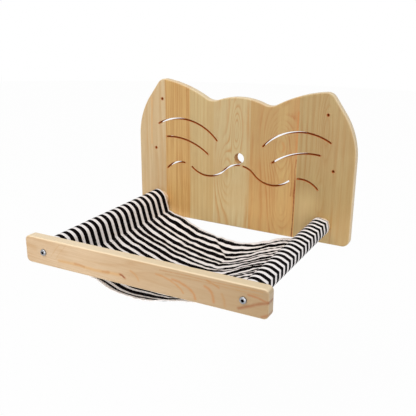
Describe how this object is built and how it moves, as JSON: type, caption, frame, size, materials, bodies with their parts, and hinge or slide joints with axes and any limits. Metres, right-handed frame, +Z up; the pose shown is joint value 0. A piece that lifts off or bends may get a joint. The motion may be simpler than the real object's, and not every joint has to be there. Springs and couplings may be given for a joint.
{
  "type": "wall-mounted cat hammock",
  "caption": "Cat perch for a wall: a pine board cut as a cat's head, rods, a front rail and a striped cloth sling hung between the rods.",
  "frame": {"origin": "on the wall face of the board, midway between the rods and at the height of the rods' axes", "axes": "+X to the right seen from the front, +Y into the wall, +Z up"},
  "size_m": [0.39, 0.3077, 0.2713],
  "materials": {
    "board_pine": "clear satin pine",
    "rail_pine": "clear satin pine",
    "rod_pine": "clear satin pine",
    "bolt_steel": "zinc plated",
    "sleeve_brass": "turned",
    "striped_cloth": "black and off-white striped cotton"
  },
  "bodies": {
    "frame": {"board_stave_1": "board_pine", "board_stave_2": "board_pine", "board_stave_3": "board_pine", "board_stave_4": "board_pine", "board_stave_5": "board_pine", "board_stave_6": "board_pine", "front_rail": "rail_pine", "left_rod": "rod_pine", "right_rod": "rod_pine", "left_front_bolt": "bolt_steel", "right_front_bolt": "bolt_steel", "left_back_bolt": "bolt_steel", "right_back_bolt": "bolt_steel", "left_front_sleeve": "sleeve_brass", "right_front_sleeve": "sleeve_brass", "left_back_sleeve": "sleeve_brass", "right_back_sleeve": "sleeve_brass"},
    "sling": {"sling": "striped_cloth"}
  },
  "joints": [
    {"name": "sling_slide", "type": "slide", "parent": "frame", "child": "sling", "axis": [0, 1, 0], "range_m": [0, 0.008]}
  ]
}
